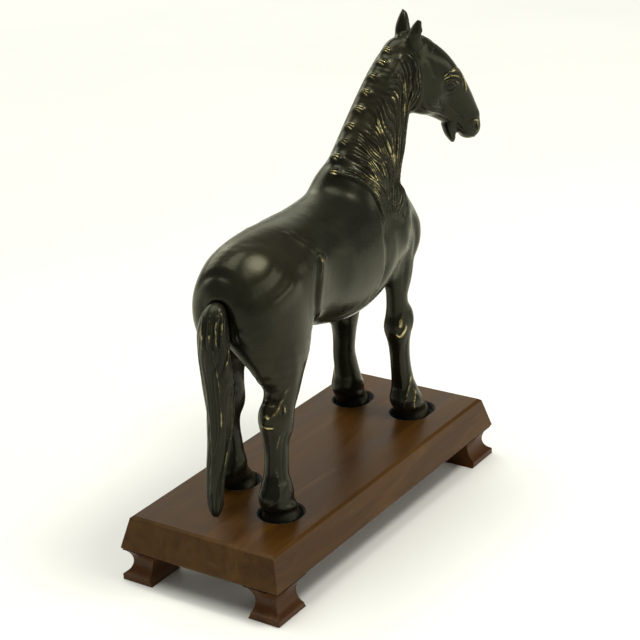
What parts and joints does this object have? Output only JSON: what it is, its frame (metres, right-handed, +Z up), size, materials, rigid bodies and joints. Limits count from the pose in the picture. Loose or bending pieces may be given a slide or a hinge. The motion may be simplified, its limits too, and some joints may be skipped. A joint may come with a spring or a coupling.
{
  "type": "horse statue on stand",
  "caption": "Dark bronze horse with its head turned and mane carved in locks, standing loose in felt-lined hoof sockets on a bevelled wooden stand with bracket feet.",
  "frame": {"origin": "on the surface the feet stand on, under the middle of the stand's board", "axes": "+X the way the horse's body faces, +Y the horse's left side, +Z up"},
  "size_m": [0.2442, 0.1, 0.2654],
  "materials": {
    "bronze": "cast bronze with a near-black olive-brown patina, satin, rubbed to gold on the high ridges",
    "bronze_tail": "same dark patina, rubbed along the strands",
    "bronze_plug": "same dark patina, chased flush",
    "board_wood": "reddish-brown mahogany, satin varnish",
    "foot_wood": "reddish-brown mahogany, satin varnish, darker in the hollows",
    "dowel_wood": "plain unfinished hardwood",
    "felt": "matt black felt"
  },
  "bodies": {
    "stand": {"top_board": "board_wood", "foot_front_left": "foot_wood", "foot_front_right": "foot_wood", "foot_rear_left": "foot_wood", "foot_rear_right": "foot_wood", "foot_dowels": "dowel_wood", "socket_felt_front_left": "felt", "socket_felt_front_right": "felt", "socket_felt_rear_left": "felt", "socket_felt_rear_right": "felt"},
    "horse": {"horse_casting": "bronze", "tail": "bronze_tail", "belly_plug": "bronze_plug"}
  },
  "joints": [
    {"name": "horse_lift", "type": "slide", "parent": "stand", "child": "horse", "axis": [0, 0, 1], "range_m": [0, 0.04]}
  ]
}
